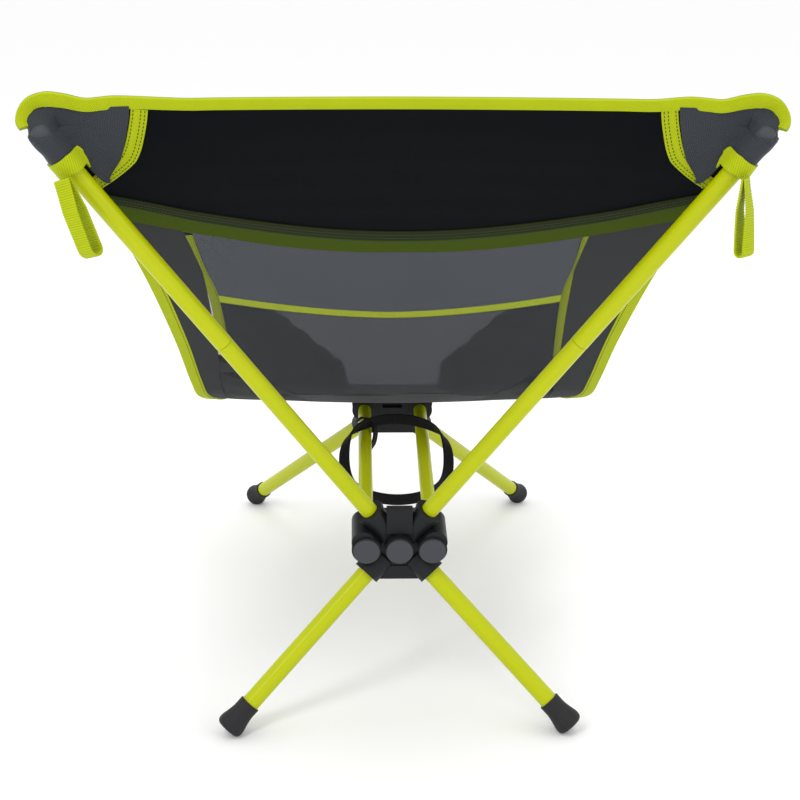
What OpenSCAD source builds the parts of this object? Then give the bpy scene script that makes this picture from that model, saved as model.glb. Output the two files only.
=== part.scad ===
/* [Overall] */
// Height of the rear hub's axis above the floor
hub_z = 141.4; // [120:0.1:170]
// Distance from the rear hub's outer face to the front hub's outer face
hub_span = 298; // [240:1:360]
// Rise of the spreader tubes towards the front, degrees
tilt = 7.5; // [0:0.5:12]
// Position of the rear hub's outer face behind the middle of the chair
rear_y = 190.3; // [150:0.1:240]

/* [Tubes] */
// Outside diameter of the four legs
leg_d = 14.5; // [12:0.1:17]
// Outside diameter of the two spreader tubes
spreader_d = 12; // [10:0.1:15]
// Half the spacing between the spreader tubes
spreader_x = 26; // [22:0.5:32]
// Outside diameter of the lower rear poles and the front poles
pole_d = 13.5; // [11:0.1:16]
// Outside diameter of the upper rear poles
pole_upper_d = 13.7; // [11:0.1:16]
// Wall of every tube
wall = 0.9; // [0.6:0.1:1.5]
// Radial clearance of a tube in its socket
fit_gap = 0.05; // [0.02:0.01:0.1]
// Diameter of the elastic shock cord
cord_d = 3; // [2:0.1:4]

/* [Hubs] */
// Depth of a hub along the spreader tubes
hub_t = 38; // [30:1:50]
// Depth that a leg goes into its socket
leg_in = 26; // [18:1:30]
// Depth that a rear pole goes into its socket
pole_in = 22; // [16:1:26]

/* [Fabric] */
// Thickness of the sling cloth
cloth = 1.2; // [0.8:0.1:2]
// Sideways steps in a sling panel
cols = 16; // [8:2:24]

/* [Hidden] */
$fn = 48;

ca = cos(tilt);
sa = sin(tilt);
lime = [0.72, 0.80, 0.05];
charcoal = [0.17, 0.18, 0.20];

// point in the hub frame: x, t forward along the spreaders, h up from their axis
function H(x, t, h) = [x, rear_y - t * ca + h * sa, hub_z + t * sa + h * ca];
function mx(p, s) = [s * p[0], p[1], p[2]];
function unit(v) = v / norm(v);

// ends of the tubes, right-hand side (+X)
rl0 = H(32, 7, -32);
rl1 = [136, rear_y + 37, 6];
fl0 = H(32, hub_span - 7, -32);
fl1 = [147, rear_y - 477, 7];
rp0 = H(21, 13, 25);
rp1 = [240, rear_y + 90, 476.8];
fp0 = [30, rear_y - 287, 207.7];
fp1 = [197, rear_y - 438.3, 294.9];
rl_u = unit(rl1 - rl0);
fl_u = unit(fl1 - fl0);
rp_u = unit(rp1 - rp0);
fp_u = unit(fp1 - fp0);
rp_len = norm(rp1 - rp0);
fp_len = norm(fp1 - fp0);
rl_len = norm(rl1 - rl0);
fl_len = norm(fl1 - fl0);
seam = 193;
plug_r = 10.4;

// cylinder between two points
module rod(p, q, r, r2 = -1) {
  d = q - p;
  translate(p) rotate([0, acos(d[2] / norm(d)), atan2(d[1], d[0])])
    cylinder(h = norm(d), r1 = r, r2 = r2 < 0 ? r : r2);
}
// tube between two points
module tube(p, q, r, w) {
  u = unit(q - p);
  difference() {
    rod(p, q, r);
    rod(p - u, q + u, r - w);
  }
}
// children placed with +Z along the direction from p to q
module along(p, q) {
  d = q - p;
  translate(p) rotate([0, acos(d[2] / norm(d)), atan2(d[1], d[0])]) children();
}

// hub: two spreader housings, a centre boss, two pole sockets and two leg sockets
// f = 0 at the rear, 1 at the front; l0, lu leg mouth and direction; p0, pu the same for the pole
module hub(f, l0, lu, p0, pu, pin) {
  ta = f == 0 ? 0 : hub_span - hub_t;
  tb = ta + hub_t;
  to = f == 0 ? 0 : hub_span;
  o = f == 0 ? 1 : -1;
  difference() {
    union() {
      for (s = [-1, 1]) {
        rod(H(s * spreader_x, ta, 0), H(s * spreader_x, tb, 0), 11.6);
        rod(mx(l0 - lu * (leg_in + 1), s), mx(l0 - lu * 8.5, s), 11.1);
        rod(mx(p0 - pu * (pin + 1), s), mx(p0 + pu * 4.5, s), 10.2);
        rod(mx(p0 + pu * 1.5, s), mx(p0 + pu * 4.5, s), 11.2);
        // rounded cheeks that carry the pole sockets on the spreader housings
        rod(H(s * 28.4, ta + 0.7, 6.4), H(s * 28.4, tb - 0.7, 6.4), 9.3);
      }
      rod(H(0, ta + 1, 0), H(0, tb - 1, 0), 11.6);
      translate([0, rear_y, hub_z]) rotate([-tilt, 0, 0]) {
        // web between the housings, recessed from the outer face
        translate([-25.3, f == 0 ? -hub_t + 1 : -hub_span + 11, -24]) cube([50.6, hub_t - 12, 42]);
        // plate between the pole sockets
        translate([-10.2, f == 0 ? -12 : -hub_span + 5, 12]) cube([20.4, 7, 21.5]);
        // foot bridge between the leg sockets
        translate([-18, f == 0 ? -hub_t + 4 : -hub_span + 10, f == 0 ? -32 : -25]) cube([36, hub_t - 14, 12]);
      }
    }
    for (s = [-1, 1]) {
      rod(H(s * spreader_x, ta - 1, 0), H(s * spreader_x, tb + 1, 0), spreader_d / 2 + fit_gap);
      rod(mx(l0 - lu * leg_in, s), mx(l0 + lu * 10, s), leg_d / 2 + fit_gap);
      rod(mx(p0 - pu * pin, s), mx(p0 + pu * 10, s), pole_d / 2 + fit_gap);
      // anchor holes of the shock cords
      rod(mx(l0 - lu * (leg_in + 7), s), mx(l0, s), cord_d / 2 + 0.3);
      rod(mx(p0 - pu * (pin + 5), s), mx(p0, s), cord_d / 2 + 0.3);
    }
    // centre pin hole for the middle plug
    rod(H(0, to - o * 2, 0), H(0, to + o * 6, 0), 6.05);
    // slot in the inner face
    translate([0, rear_y, hub_z]) rotate([-tilt, 0, 0])
      translate([-9, f == 0 ? -hub_t - 1 : -hub_span + hub_t - 5, 2]) cube([18, 6, 8]);
  }
}
module hub_plugs(f) {
  o = f == 0 ? 1 : -1;
  to = f == 0 ? 0 : hub_span;
  // o points from the outer face into the hub
  for (x = [-spreader_x, spreader_x]) {
    rod(H(x, to - o * 2.5, 0), H(x, to - o * 0.05, 0), plug_r);
    rod(H(x, to - o * 0.1, 0), H(x, to + o * 2.9, 0), spreader_d / 2);
  }
  rod(H(0, to - o * 3, 0), H(0, to - o * 0.05, 0), plug_r);
  rod(H(0, to - o * 0.1, 0), H(0, to + o * 5.9, 0), 6);
}
module leg(s, l0, lu, len) {
  tube(mx(l0 - lu * (leg_in - 0.1), s), mx(l0 + lu * (len - 4), s), leg_d / 2, wall);
}
// rubber foot: ribbed collar flaring to a rounded end, trimmed flat at the floor
module foot(s, l0, lu, len) {
  difference() {
    along(mx(l0 + lu * (len - 27), s), mx(l0 + lu * len, s)) {
      rotate_extrude() polygon(concat(
        [[leg_d / 2 + 0.02, 0], [8.2, 0], [8.5, 1.5], [8.5, 9], [9.6, 16], [10.8, 22]],
        [for (a = [-10 : 20 : 90]) [7.0 + 4 * cos(a), 23 + 4 * sin(a)]],
        [[0, 27], [0, 23.2], [leg_d / 2 + 0.02, 23.2]]));
      // flutes round the flared end
      for (a = [0 : 45 : 315]) rotate([0, 0, a]) translate([9.75, 0, 11])
        rotate([0, 9.6, 0]) cylinder(h = 13, r = 0.95, $fn = 16);
    }
    translate([-400, -400, -50]) cube([800, 800, 50]);
  }
}
module pair_tip(p0, pu, len, r) {
  for (s = [-1, 1]) {
    rod(mx(p0 + pu * (len - 24), s), mx(p0 + pu * (len - 7), s), r - wall - 0.05);
    rod(mx(p0 + pu * (len - 7.9), s), mx(p0 + pu * len, s), r);
    translate(mx(p0 + pu * len, s)) sphere(r = 7);
  }
}
module cords(p0, pu, a, b) for (s = [-1, 1]) rod(mx(p0 + pu * a, s), mx(p0 + pu * b, s), cord_d / 2);

// sling surface: a middle line and a side edge joined across, knots from the top edge to the front edge
ks = [0, 0.065, 0.155, 0.265, 0.40, 0.50, 0.545, 0.60, 0.635, 0.70, 0.83, 0.90, 0.97, 1.0];
km = [[285, 499.5], [260, 466.5], [218, 421.5], [167, 365.5], [105, 296.5], [58, 246.5], [37, 224.5],
      [7, 204.5], [-19, 203.5], [-63, 216], [-147, 245.5], [-190, 265.5], [-234, 284.5], [-253, 293.5]];
ke = [[253, 277.5, 496.5], [236, 267, 455.5], [206, 237, 414.5], [190, 185, 361.5], [178, 115, 293.5],
      [172, 65, 243.5], [168, 40, 222.5], [157, 5, 209.5], [155, -20, 210.5], [157, -60, 222],
      [175, -150, 262.5], [193, -195, 284], [208, -237, 306.5], [215, -255, 313.5]];
dy = rear_y - 195;
function seg(s, i = 0) = i >= len(ks) - 2 || s < ks[i + 1] ? i : seg(s, i + 1);
function cr(a, b, c, d, t) = 0.5 * (2 * b + (c - a) * t + (2 * a - 5 * b + 4 * c - d) * t * t
  + (3 * b - a - 3 * c + d) * t * t * t);
function spline(k, s) = let(i = seg(s), n = len(ks), t = (s - ks[i]) / (ks[i + 1] - ks[i]))
  cr(k[max(i - 1, 0)], k[i], k[i + 1], k[min(i + 2, n - 1)], t);
function S(s, w) = let(m = spline(km, s), e = spline(ke, s), q = pow(abs(w), 1.7))
  [e[0] * w, m[0] + (e[1] - m[0]) * q + dy, m[1] + (e[2] - m[1]) * q];
// outward normal, away from the sitter
function N(s, w) = let(a = S(s + 0.004, w) - S(s - 0.004, w), b = S(s, w + 0.01) - S(s, w - 0.01))
  -unit(cross(a, b));
function P(s, w, off) = S(s, w) + N(s, w) * off;

// closed sheet from a grid of [s, w, offset] cells, with thickness th outwards
module sheet(g, th) {
  n = len(g);
  m = len(g[0]);
  top = [for (r = g) for (c = r) P(c[0], c[1], c[2])];
  bot = [for (r = g) for (c = r) P(c[0], c[1], c[2] + th)];
  k = n * m;
  faces = concat(
    [for (i = [0 : n - 2], j = [0 : m - 2]) [i * m + j, (i + 1) * m + j + 1, i * m + j + 1]],
    [for (i = [0 : n - 2], j = [0 : m - 2]) [i * m + j, (i + 1) * m + j, (i + 1) * m + j + 1]],
    [for (i = [0 : n - 2], j = [0 : m - 2]) [k + i * m + j, k + i * m + j + 1, k + (i + 1) * m + j + 1]],
    [for (i = [0 : n - 2], j = [0 : m - 2]) [k + i * m + j, k + (i + 1) * m + j + 1, k + (i + 1) * m + j]],
    [for (j = [0 : m - 2]) [j, k + j + 1, k + j]],
    [for (j = [0 : m - 2]) [j, j + 1, k + j + 1]],
    [for (j = [0 : m - 2]) [(n - 1) * m + j, k + (n - 1) * m + j, k + (n - 1) * m + j + 1]],
    [for (j = [0 : m - 2]) [(n - 1) * m + j, k + (n - 1) * m + j + 1, (n - 1) * m + j + 1]],
    [for (i = [0 : n - 2]) [i * m, k + i * m, k + (i + 1) * m]],
    [for (i = [0 : n - 2]) [i * m, k + (i + 1) * m, (i + 1) * m]],
    [for (i = [0 : n - 2]) [(i + 1) * m - 1, k + (i + 2) * m - 1, k + (i + 1) * m - 1]],
    [for (i = [0 : n - 2]) [(i + 1) * m - 1, (i + 2) * m - 1, k + (i + 2) * m - 1]]);
  polyhedron(points = concat(top, bot), faces = faces, convexity = 8);
}
// rows from sa to sb, columns from wa to wb, both may vary along the other
module panel(fs, fe, wa, wb, rows, c = cols, th = cloth, off = -0.6) {
  sheet([for (i = [0 : rows]) [for (j = [0 : c]) let(w = wa + (wb - wa) * j / c, a = fs(w), b = fe(w))
    [a + (b - a) * i / rows, w, off]]], th);
}
// middle of the sling between the side seams, rows at constant s
module strip(s0, s1, f0, f1, rows, c, th = cloth, off = -0.6) {
  sheet([for (i = [0 : rows]) let(s = s0 + (s1 - s0) * i / rows)
    [for (j = [0 : c]) [s, f0(s) + (f1(s) - f0(s)) * j / c, off]]], th);
}
edge_w = 0.955;
function band_s(w) = 0.212 - 0.098 * w * w;
function side_w(s) = lookup(s, [[0.40, edge_w - 0.004], [0.56, 0.50], [0.66, 0.26], [0.72, 0.30], [0.826, 0.66]]);

module side_tape(m) mirror([m, 0, 0]) {
  strip(0.115, 0.962, function(s) edge_w + 0.004, function(s) 1.005, 30, 1, 3, -1.5);
}
// rise of a pocket's outer wall across it, u from its inner edge to its outer one, and how far it stands off
function rise(u) = lookup(u, [[0, 0], [0.12, 0.6], [0.25, 0.92], [0.45, 1], [0.92, 1], [0.98, 0.78], [1, 0.2]]);
function rear_h(s) = lookup(s, [[0, 2.4], [0.018, 19], [0.06, 19], [0.075, 20.4], [0.1, 24]]);
function front_h(s) = lookup(s, [[0.90, 20], [0.97, 20], [0.98, 17], [0.988, 8]]);
function rear_w(s) = 0.70 + 0.15 * pow(max(0, s - 0.004) / 0.094, 1.5);
function rear_at(s, u) = lookup(u, [[0, rear_w(s)], [0.92, 1.0], [0.98, 1.035], [1, 1.05]]);
pocket_u = [0, 0.12, 0.25, 0.45, 0.65, 0.8, 0.92, 0.98, 1];

module pocket_rear() {
  sheet([for (i = [0 : 6]) let(s = 0.004 + 0.094 * i / 6)
    [for (u = pocket_u) [s, rear_at(s, u), 1.4 + rear_h(s) * rise(u)]]], 1.1);
}
module pocket_front() {
  sheet([for (i = [0 : 9]) let(s = 0.988 - 0.085 * i / 9, wt = 0.70 - 0.06 * i / 9)
    [for (k = [8 : -1 : 0]) let(u = pocket_u[k])
      [s, lookup(u, [[0, wt], [0.92, 0.99], [0.98, 1.03], [1, 1.045]]), 1.4 + front_h(s) * rise(u)]]], 1.1);
}
module pocket_tape() {
  sheet([for (i = [0 : 8]) let(s = 0.018 + 0.097 * i / 8)
    [for (u = [-1, 0]) [s, rear_w(s) - 0.004 + 0.052 * u, 0.9]]], 1.1);
}
module pocket_band() {
  sheet([for (i = [0 : 2]) let(s = 0.084 + 0.0135 * i / 2)
    [for (u = [0.25, 0.45, 0.65, 0.8, 0.92, 0.98]) [s, rear_at(s, u), 2.8 + rear_h(s) * rise(u)]]], 1.4);
}
loop_at = [224, rear_y + 98.5, 442];
module pull_loop(s) {
  translate([s * loop_at[0] - 6.5, loop_at[1], loop_at[2]])
    rotate([90, 0, 90]) linear_extrude(height = 13) difference() {
      translate([-6, -52]) square([12, 52]);
      translate([-4.6, -52]) square([9.2, 50.6]);
    }
  translate([s * loop_at[0] - 6.5, loop_at[1], loop_at[2] - 52])
    rotate([0, 90, 0]) difference() {
      cylinder(h = 13, r = 6);
      translate([0, 0, -1]) cylinder(h = 15, r = 4.6);
      translate([-20.01, -10, -1]) cube([20, 20, 15]);
    }
}
// webbing hoop over the spreaders at the front and under them at the back
strap_n = 40;
function strap_c(a) = let(t = 160.5 + 55.5 * cos(a), k = sin(90 * max(-1, min(1, 1.7 * cos(a)))))
  H(47 * sin(a), t, 11.7 * k);
module hoop() {
  wv = [0, sa, ca] * 5.2;
  n = strap_n;
  pts = concat(
    [for (i = [0 : n - 1]) let(c = strap_c(i * 360 / n), o = unit([c[0], (c[1] - rear_y + 159.5) * 0.7, 0]) * 0.7) c + o - wv],
    [for (i = [0 : n - 1]) let(c = strap_c(i * 360 / n), o = unit([c[0], (c[1] - rear_y + 159.5) * 0.7, 0]) * 0.7) c + o + wv],
    [for (i = [0 : n - 1]) let(c = strap_c(i * 360 / n), o = unit([c[0], (c[1] - rear_y + 159.5) * 0.7, 0]) * 0.7) c - o + wv],
    [for (i = [0 : n - 1]) let(c = strap_c(i * 360 / n), o = unit([c[0], (c[1] - rear_y + 159.5) * 0.7, 0]) * 0.7) c - o - wv]);
  polyhedron(points = pts, convexity = 6, faces = [for (k = [0 : 3], i = [0 : n - 1], h = [0, 1])
    let(a = k * n + i, b = k * n + (i + 1) % n, c = ((k + 1) % 4) * n + (i + 1) % n, d = ((k + 1) % 4) * n + i)
    h == 0 ? [a, c, b] : [a, d, c]]);
}

black = [0.07, 0.08, 0.09];
grey = [0.27, 0.28, 0.30];
mesh_grey = [0.33, 0.35, 0.38];
rubber = [0.10, 0.10, 0.10];
webbing = [0.05, 0.05, 0.06];
tip_grey = [0.20, 0.20, 0.22];
cord_grey = [0.75, 0.76, 0.78];

module rear_hub() color(charcoal) hub(0, rl0, rl_u, rp0, rp_u, pole_in);
module front_hub() color(charcoal) hub(1, fl0, fl_u, fp0, fp_u, 22);
module rear_hub_plugs() color(tip_grey) hub_plugs(0);
module front_hub_plugs() color(tip_grey) hub_plugs(1);
module spreader(s) tube(H(s * spreader_x, 3, 0), H(s * spreader_x, hub_span - 3, 0), spreader_d / 2, wall);
module spreader_tube_left() color(lime) spreader(1);
module spreader_tube_right() color(lime) spreader(-1);
module rear_leg_left() color(lime) leg(1, rl0, rl_u, rl_len);
module rear_leg_right() color(lime) leg(-1, rl0, rl_u, rl_len);
module front_leg_left() color(lime) leg(1, fl0, fl_u, fl_len);
module front_leg_right() color(lime) leg(-1, fl0, fl_u, fl_len);
module rear_foot_left() color(rubber) foot(1, rl0, rl_u, rl_len);
module rear_foot_right() color(rubber) foot(-1, rl0, rl_u, rl_len);
module front_foot_left() color(rubber) foot(1, fl0, fl_u, fl_len);
module front_foot_right() color(rubber) foot(-1, fl0, fl_u, fl_len);
module pole_lower(s) tube(mx(rp0 - rp_u * (pole_in - 0.1), s), mx(rp0 + rp_u * seam, s), pole_d / 2, wall);
module rear_pole_lower_left() color(lime) pole_lower(1);
module rear_pole_lower_right() color(lime) pole_lower(-1);
module pole_upper(s) tube(mx(rp0 + rp_u * (seam + 0.4), s), mx(rp0 + rp_u * (rp_len - 8), s), pole_upper_d / 2, wall + 0.1);
module rear_pole_upper_left() color(lime) pole_upper(1);
module rear_pole_upper_right() color(lime) pole_upper(-1);
module ferrule(s) tube(mx(rp0 + rp_u * (seam - 30), s), mx(rp0 + rp_u * (seam + 30), s), pole_d / 2 - wall - 0.05, 0.8);
module rear_ferrule_left() color([0.75, 0.76, 0.78]) ferrule(1);
module rear_ferrule_right() color([0.75, 0.76, 0.78]) ferrule(-1);
module front_pole(s) tube(mx(fp0 - fp_u * 21.9, s), mx(fp0 + fp_u * (fp_len - 8), s), pole_d / 2, wall);
module front_pole_left() color(lime) front_pole(1);
module front_pole_right() color(lime) front_pole(-1);
module pole_tips_rear() color(tip_grey) pair_tip(rp0, rp_u, rp_len, pole_d / 2);
module pole_tips_front() color(tip_grey) pair_tip(fp0, fp_u, fp_len, pole_d / 2);
module shock_cord_rear_legs() color(cord_grey) cords(rl0, rl_u, -leg_in - 6, rl_len - 6);
module shock_cord_front_legs() color(cord_grey) cords(fl0, fl_u, -leg_in - 6, fl_len - 6);
module shock_cord_rear_poles() color(cord_grey) cords(rp0, rp_u, -pole_in - 4, rp_len - 24.2);
module shock_cord_front_poles() color(cord_grey) cords(fp0, fp_u, -22 - 4, fp_len - 24.2);
module back_panel() color(black)
  panel(function(w) 0.018, function(w) band_s(w), -edge_w, edge_w, 7);
module back_band() color([0.20, 0.26, 0.08])
  panel(function(w) band_s(w) + 0.0006, function(w) band_s(w) + 0.026, -edge_w, edge_w, 1, cols, 1.8, -0.9);
module mesh_panel() color(mesh_grey) {
  sheet([for (i = [0 : 20]) [for (j = [0 : cols]) let(v = -1 + 2 * j / cols,
    s0 = band_s(v * edge_w) + 0.0266, s = s0 + (0.826 - s0) * i / 20, w = v * side_w(s)) [s, w, -0.6]]], cloth);
}
module seat_side(m) mirror([m, 0, 0])
  strip(0.404, 0.826, function(s) min(side_w(s) + 0.006, edge_w - 0.002), function(s) edge_w, 12, 6);
module seat_side_left() color(grey) seat_side(0);
module seat_side_right() color(grey) seat_side(1);
module seat_seam_tape() color(lime)
  panel(function(w) 0.8268, function(w) 0.8345, -edge_w, edge_w, 1, cols, 1.6, -0.8);
module front_panel() color(grey)
  panel(function(w) 0.8353, function(w) 0.983, -edge_w, edge_w, 5);
module top_binding() color(lime)
  panel(function(w) 0, function(w) 0.0172, -1.0, 1.0, 1, 24, 3, -1.5);
module front_binding() color(lime)
  panel(function(w) 0.9838, function(w) 1.0, -1.0, 1.0, 1, 16, 3, -1.5);
module side_tape_left() color(lime) side_tape(0);
module side_tape_right() color(lime) side_tape(1);
module pocket_rear_left() color(grey) pocket_rear();
module pocket_rear_right() color(grey) mirror([1, 0, 0]) pocket_rear();
module pocket_front_left() color(grey) pocket_front();
module pocket_front_right() color(grey) mirror([1, 0, 0]) pocket_front();
module pocket_tape_rear_left() color(lime) pocket_tape();
module pocket_tape_rear_right() color(lime) mirror([1, 0, 0]) pocket_tape();
module pocket_band_left() color(lime) pocket_band();
module pocket_band_right() color(lime) mirror([1, 0, 0]) pocket_band();
module pull_loop_left() color(lime) pull_loop(1);
module pull_loop_right() color(lime) pull_loop(-1);
module keeper_strap() color(webbing) hoop();

rear_hub();
front_hub();
rear_hub_plugs();
front_hub_plugs();
spreader_tube_left();
spreader_tube_right();
rear_leg_left();
rear_leg_right();
front_leg_left();
front_leg_right();
rear_foot_left();
rear_foot_right();
front_foot_left();
front_foot_right();
rear_pole_lower_left();
rear_pole_lower_right();
rear_pole_upper_left();
rear_pole_upper_right();
rear_ferrule_left();
rear_ferrule_right();
front_pole_left();
front_pole_right();
pole_tips_rear();
pole_tips_front();
shock_cord_rear_legs();
shock_cord_front_legs();
shock_cord_rear_poles();
shock_cord_front_poles();
back_panel();
back_band();
mesh_panel();
seat_side_left();
seat_side_right();
seat_seam_tape();
front_panel();
top_binding();
front_binding();
side_tape_left();
side_tape_right();
pocket_rear_left();
pocket_rear_right();
pocket_front_left();
pocket_front_right();
pocket_tape_rear_left();
pocket_tape_rear_right();
pocket_band_left();
pocket_band_right();
pull_loop_left();
pull_loop_right();
keeper_strap();
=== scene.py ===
import math

import bpy
import numpy as np
from mathutils import Matrix, Vector


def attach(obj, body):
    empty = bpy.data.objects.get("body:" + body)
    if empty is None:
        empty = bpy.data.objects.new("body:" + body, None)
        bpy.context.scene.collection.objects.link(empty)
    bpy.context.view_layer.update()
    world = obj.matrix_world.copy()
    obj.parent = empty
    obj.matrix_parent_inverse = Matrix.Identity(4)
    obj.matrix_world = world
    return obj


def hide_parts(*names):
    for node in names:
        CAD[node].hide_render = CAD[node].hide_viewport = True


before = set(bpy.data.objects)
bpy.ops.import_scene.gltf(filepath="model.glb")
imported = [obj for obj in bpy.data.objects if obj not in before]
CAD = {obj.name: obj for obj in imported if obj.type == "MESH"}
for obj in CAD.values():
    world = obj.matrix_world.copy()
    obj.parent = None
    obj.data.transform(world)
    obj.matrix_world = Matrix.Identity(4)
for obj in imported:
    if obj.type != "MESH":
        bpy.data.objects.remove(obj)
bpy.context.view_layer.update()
MM = 0.001
RY = 195.5                       # rear face of the rear hub, mm, in the coordinates used below
SHIFT = -5.2                     # from these coordinates to the frame, along Y, mm
HUB_Z = 141.4                    # height of the middle of the rear hub's outer face, mm
HUB_SPAN = 298                   # from one hub's outer face to the other's, mm
TILT = math.radians(7.5)         # rise of the spreader tubes towards the front
CA = math.cos(TILT)
SA = math.sin(TILT)


# ---------------------------------------------------------------- materials
def wave_scale(pitch):
    """Scale of a wave texture whose bands are pitch metres apart."""
    return math.pi / pitch / 10


class Mat:
    """A node material with short helpers."""

    def __init__(self, name, colour, rough=0.6, **sockets):
        self.m = bpy.data.materials.new(name)
        self.m.use_nodes = True
        self.t = self.m.node_tree
        self.b = self.t.nodes["Principled BSDF"]
        self.b.inputs["Base Color"].default_value = (*colour, 1)
        self.b.inputs["Roughness"].default_value = rough
        for k, v in sockets.items():
            self.b.inputs[k.replace("_", " ")].default_value = v
        self.colour = colour

    def node(self, kind, **kw):
        n = self.t.nodes.new(kind)
        for k, v in kw.items():
            if k.startswith("in_"):
                n.inputs[k[3:].replace("_", " ")].default_value = v
            else:
                setattr(n, k, v)
        return n

    def link(self, a, b):
        self.t.links.new(a, b)

    def coords(self, kind="Object", scale=(1, 1, 1)):
        tc = self.node("ShaderNodeTexCoord")
        mp = self.node("ShaderNodeMapping")
        mp.inputs["Scale"].default_value = scale
        self.link(tc.outputs[kind], mp.inputs["Vector"])
        return mp.outputs["Vector"]

    def uv(self, scale=(1, 1, 1), turn=0.0):
        tc = self.node("ShaderNodeUVMap", uv_map="UVMap")
        mp = self.node("ShaderNodeMapping")
        mp.inputs["Scale"].default_value = scale
        mp.inputs["Rotation"].default_value = (0, 0, turn)
        self.link(tc.outputs["UV"], mp.inputs["Vector"])
        return mp.outputs["Vector"]

    def noise(self, vec, scale, detail=3.0, rough=0.6):
        n = self.node("ShaderNodeTexNoise", in_Scale=scale, in_Detail=detail, in_Roughness=rough)
        self.link(vec, n.inputs["Vector"])
        return n.outputs["Fac"]

    def wave(self, vec, scale, axis="X", profile="SIN", distort=0.0):
        n = self.node("ShaderNodeTexWave", in_Scale=scale, in_Distortion=distort,
                      bands_direction=axis, wave_profile=profile)
        self.link(vec, n.inputs["Vector"])
        return n.outputs["Fac"]

    def maths(self, op, a, b=None, clamp=False):
        n = self.node("ShaderNodeMath", operation=op, use_clamp=clamp)
        for i, v in enumerate((a, b)):
            if v is None:
                continue
            if isinstance(v, (int, float)):
                n.inputs[i].default_value = v
            else:
                self.link(v, n.inputs[i])
        return n.outputs[0]

    def span(self, fac, low, high):
        n = self.node("ShaderNodeMapRange", in_To_Min=low, in_To_Max=high)
        self.link(fac, n.inputs["Value"])
        return n.outputs["Result"]

    def blend(self, fac, dark, light):
        """Colour between dark and light by fac; each is a colour or a node's output."""
        n = self.node("ShaderNodeMix", data_type="RGBA")
        self.link(fac, n.inputs["Factor"])
        for key, v in (("A", dark), ("B", light)):
            if isinstance(v, tuple):
                n.inputs[key].default_value = (*v, 1)
            else:
                self.link(v, n.inputs[key])
        return n.outputs["Result"]

    def tint(self, fac, dark, light):
        """Base colour between two colours by fac."""
        self.link(self.blend(fac, dark, light), self.b.inputs["Base Color"])

    def bump(self, height, dist, strength=1.0):
        n = self.node("ShaderNodeBump", in_Distance=dist, in_Strength=strength)
        self.link(height, n.inputs["Height"])
        self.link(n.outputs["Normal"], self.b.inputs["Normal"])

    def roughness(self, fac, low, high):
        self.link(self.span(fac, low, high), self.b.inputs["Roughness"])


def dim(c, k):
    return tuple(x * k for x in c)


def woven(name, colour, pitch, depth=0.00012, contrast=0.35, rough=0.75, turn=0.0, sheen=0.25,
          blotch=0.12, spec=0.15):
    """Plain weave: two crossing thread directions, thread shadows and a slow unevenness."""
    m = Mat(name, colour, rough, Sheen_Weight=sheen, Sheen_Roughness=0.5)
    m.b.inputs["Specular IOR Level"].default_value = spec
    vec = m.uv(turn=turn)
    k = wave_scale(pitch)
    a = m.wave(vec, k, "X")
    b = m.wave(vec, k, "Y")
    both_high = m.maths("MULTIPLY", a, b)
    both_low = m.maths("MULTIPLY", m.maths("SUBTRACT", 1.0, a), m.maths("SUBTRACT", 1.0, b))
    weave = m.maths("ADD", both_high, both_low)
    slow = m.noise(m.uv(), 22.0, 3.0)
    f = m.maths("ADD", m.maths("MULTIPLY", weave, 1 - blotch * 2),
                m.maths("MULTIPLY", slow, blotch * 2), clamp=True)
    m.tint(f, dim(colour, 1 - contrast), dim(colour, 1 + contrast))
    m.roughness(slow, rough - 0.08, min(rough + 0.1, 1))
    m.bump(weave, depth)
    return m.m


def tape(name, colour, pitch=0.0011, rough=0.62, turn=0.6, depth=0.00018):
    """Twill or grosgrain tape: ribs at an angle, a faint second set, soft sheen."""
    m = Mat(name, colour, rough, Sheen_Weight=0.04, Sheen_Roughness=0.4)
    m.b.inputs["Specular IOR Level"].default_value = 0.12
    k = wave_scale(pitch)
    ribs = m.wave(m.uv(turn=turn), k, "X")
    fine = m.wave(m.uv(turn=turn), k * 0.9, "Y")
    slow = m.noise(m.uv(), 60.0, 4.0)
    h = m.maths("ADD", m.maths("MULTIPLY", ribs, 0.75), m.maths("MULTIPLY", fine, 0.25))
    f = m.maths("ADD", m.maths("MULTIPLY", h, 0.75), m.maths("MULTIPLY", slow, 0.25), clamp=True)
    m.tint(f, dim(colour, 0.66), dim(colour, 1.14))
    m.bump(h, depth)
    return m.m


LIME = (0.435, 0.485, 0.0002)
LIME_TAPE = (0.41, 0.49, 0.004)


def lime_tube():
    m = Mat("lime_lacquer", LIME, 0.28, Coat_Weight=0.14, Coat_Roughness=0.10)
    m.b.inputs["Specular IOR Level"].default_value = 0.14
    v = m.coords("Object")
    slow = m.noise(v, 9.0, 2.0)
    fine = m.noise(v, 900.0, 2.0)
    m.tint(slow, dim(LIME, 0.94), dim(LIME, 1.06))
    m.roughness(m.maths("ADD", m.maths("MULTIPLY", slow, 0.6), m.maths("MULTIPLY", fine, 0.4)), 0.27, 0.42)
    m.bump(fine, 0.00002, 0.5)
    return m.m


def moulded(name, colour, rough=0.52, grain=1400.0, depth=0.00005, spec=0.25):
    m = Mat(name, colour, rough)
    m.b.inputs["Specular IOR Level"].default_value = spec
    v = m.coords("Object")
    fine = m.noise(v, grain, 3.0)
    slow = m.noise(v, 30.0, 3.0)
    m.tint(m.maths("ADD", m.maths("MULTIPLY", fine, 0.5), m.maths("MULTIPLY", slow, 0.5)),
           dim(colour, 0.8), dim(colour, 1.2))
    m.roughness(slow, rough - 0.07, rough + 0.1)
    m.bump(fine, depth)
    return m.m


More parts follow.
